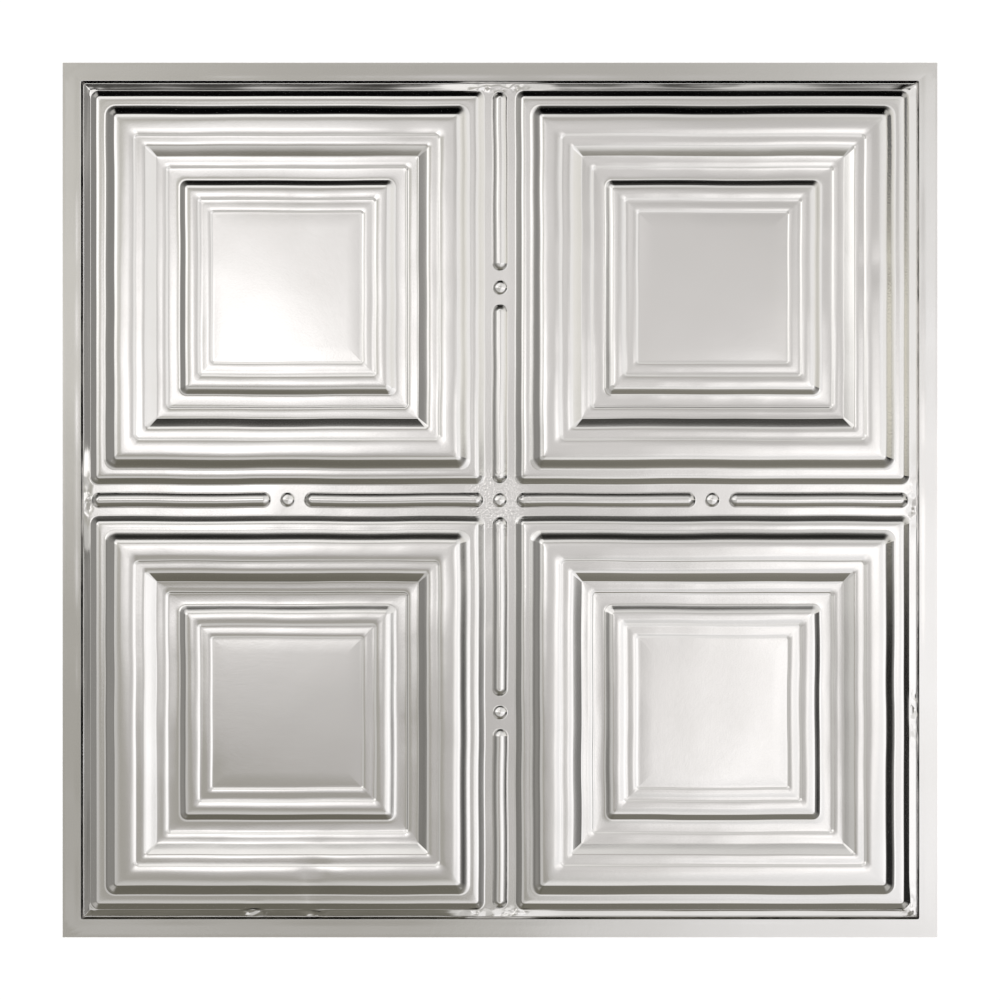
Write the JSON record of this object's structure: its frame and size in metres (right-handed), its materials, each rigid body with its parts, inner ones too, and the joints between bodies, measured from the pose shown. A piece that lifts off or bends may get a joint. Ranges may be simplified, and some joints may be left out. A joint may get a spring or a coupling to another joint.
{
  "type": "lay-in ceiling tile",
  "caption": "Square pressed sheet-steel ceiling tile with stepped square panels and a cross of beads, and a flat flange that lies on the tees of a suspended ceiling grid",
  "frame": {"origin": "middle of the tile, on the underside of its flange", "axes": "+X and +Y run along the sides, +Y being the top of the picture; +Z comes out of the decorated face"},
  "size_m": [0.6032, 0.6032, 0.0127],
  "materials": {
    "tin_plate": "bright tin plate with a faint satin grain, pressed, with small wrinkles along the edges"
  },
  "bodies": {
    "root": {"tile_sheet": "tin_plate"}
  },
  "joints": []
}
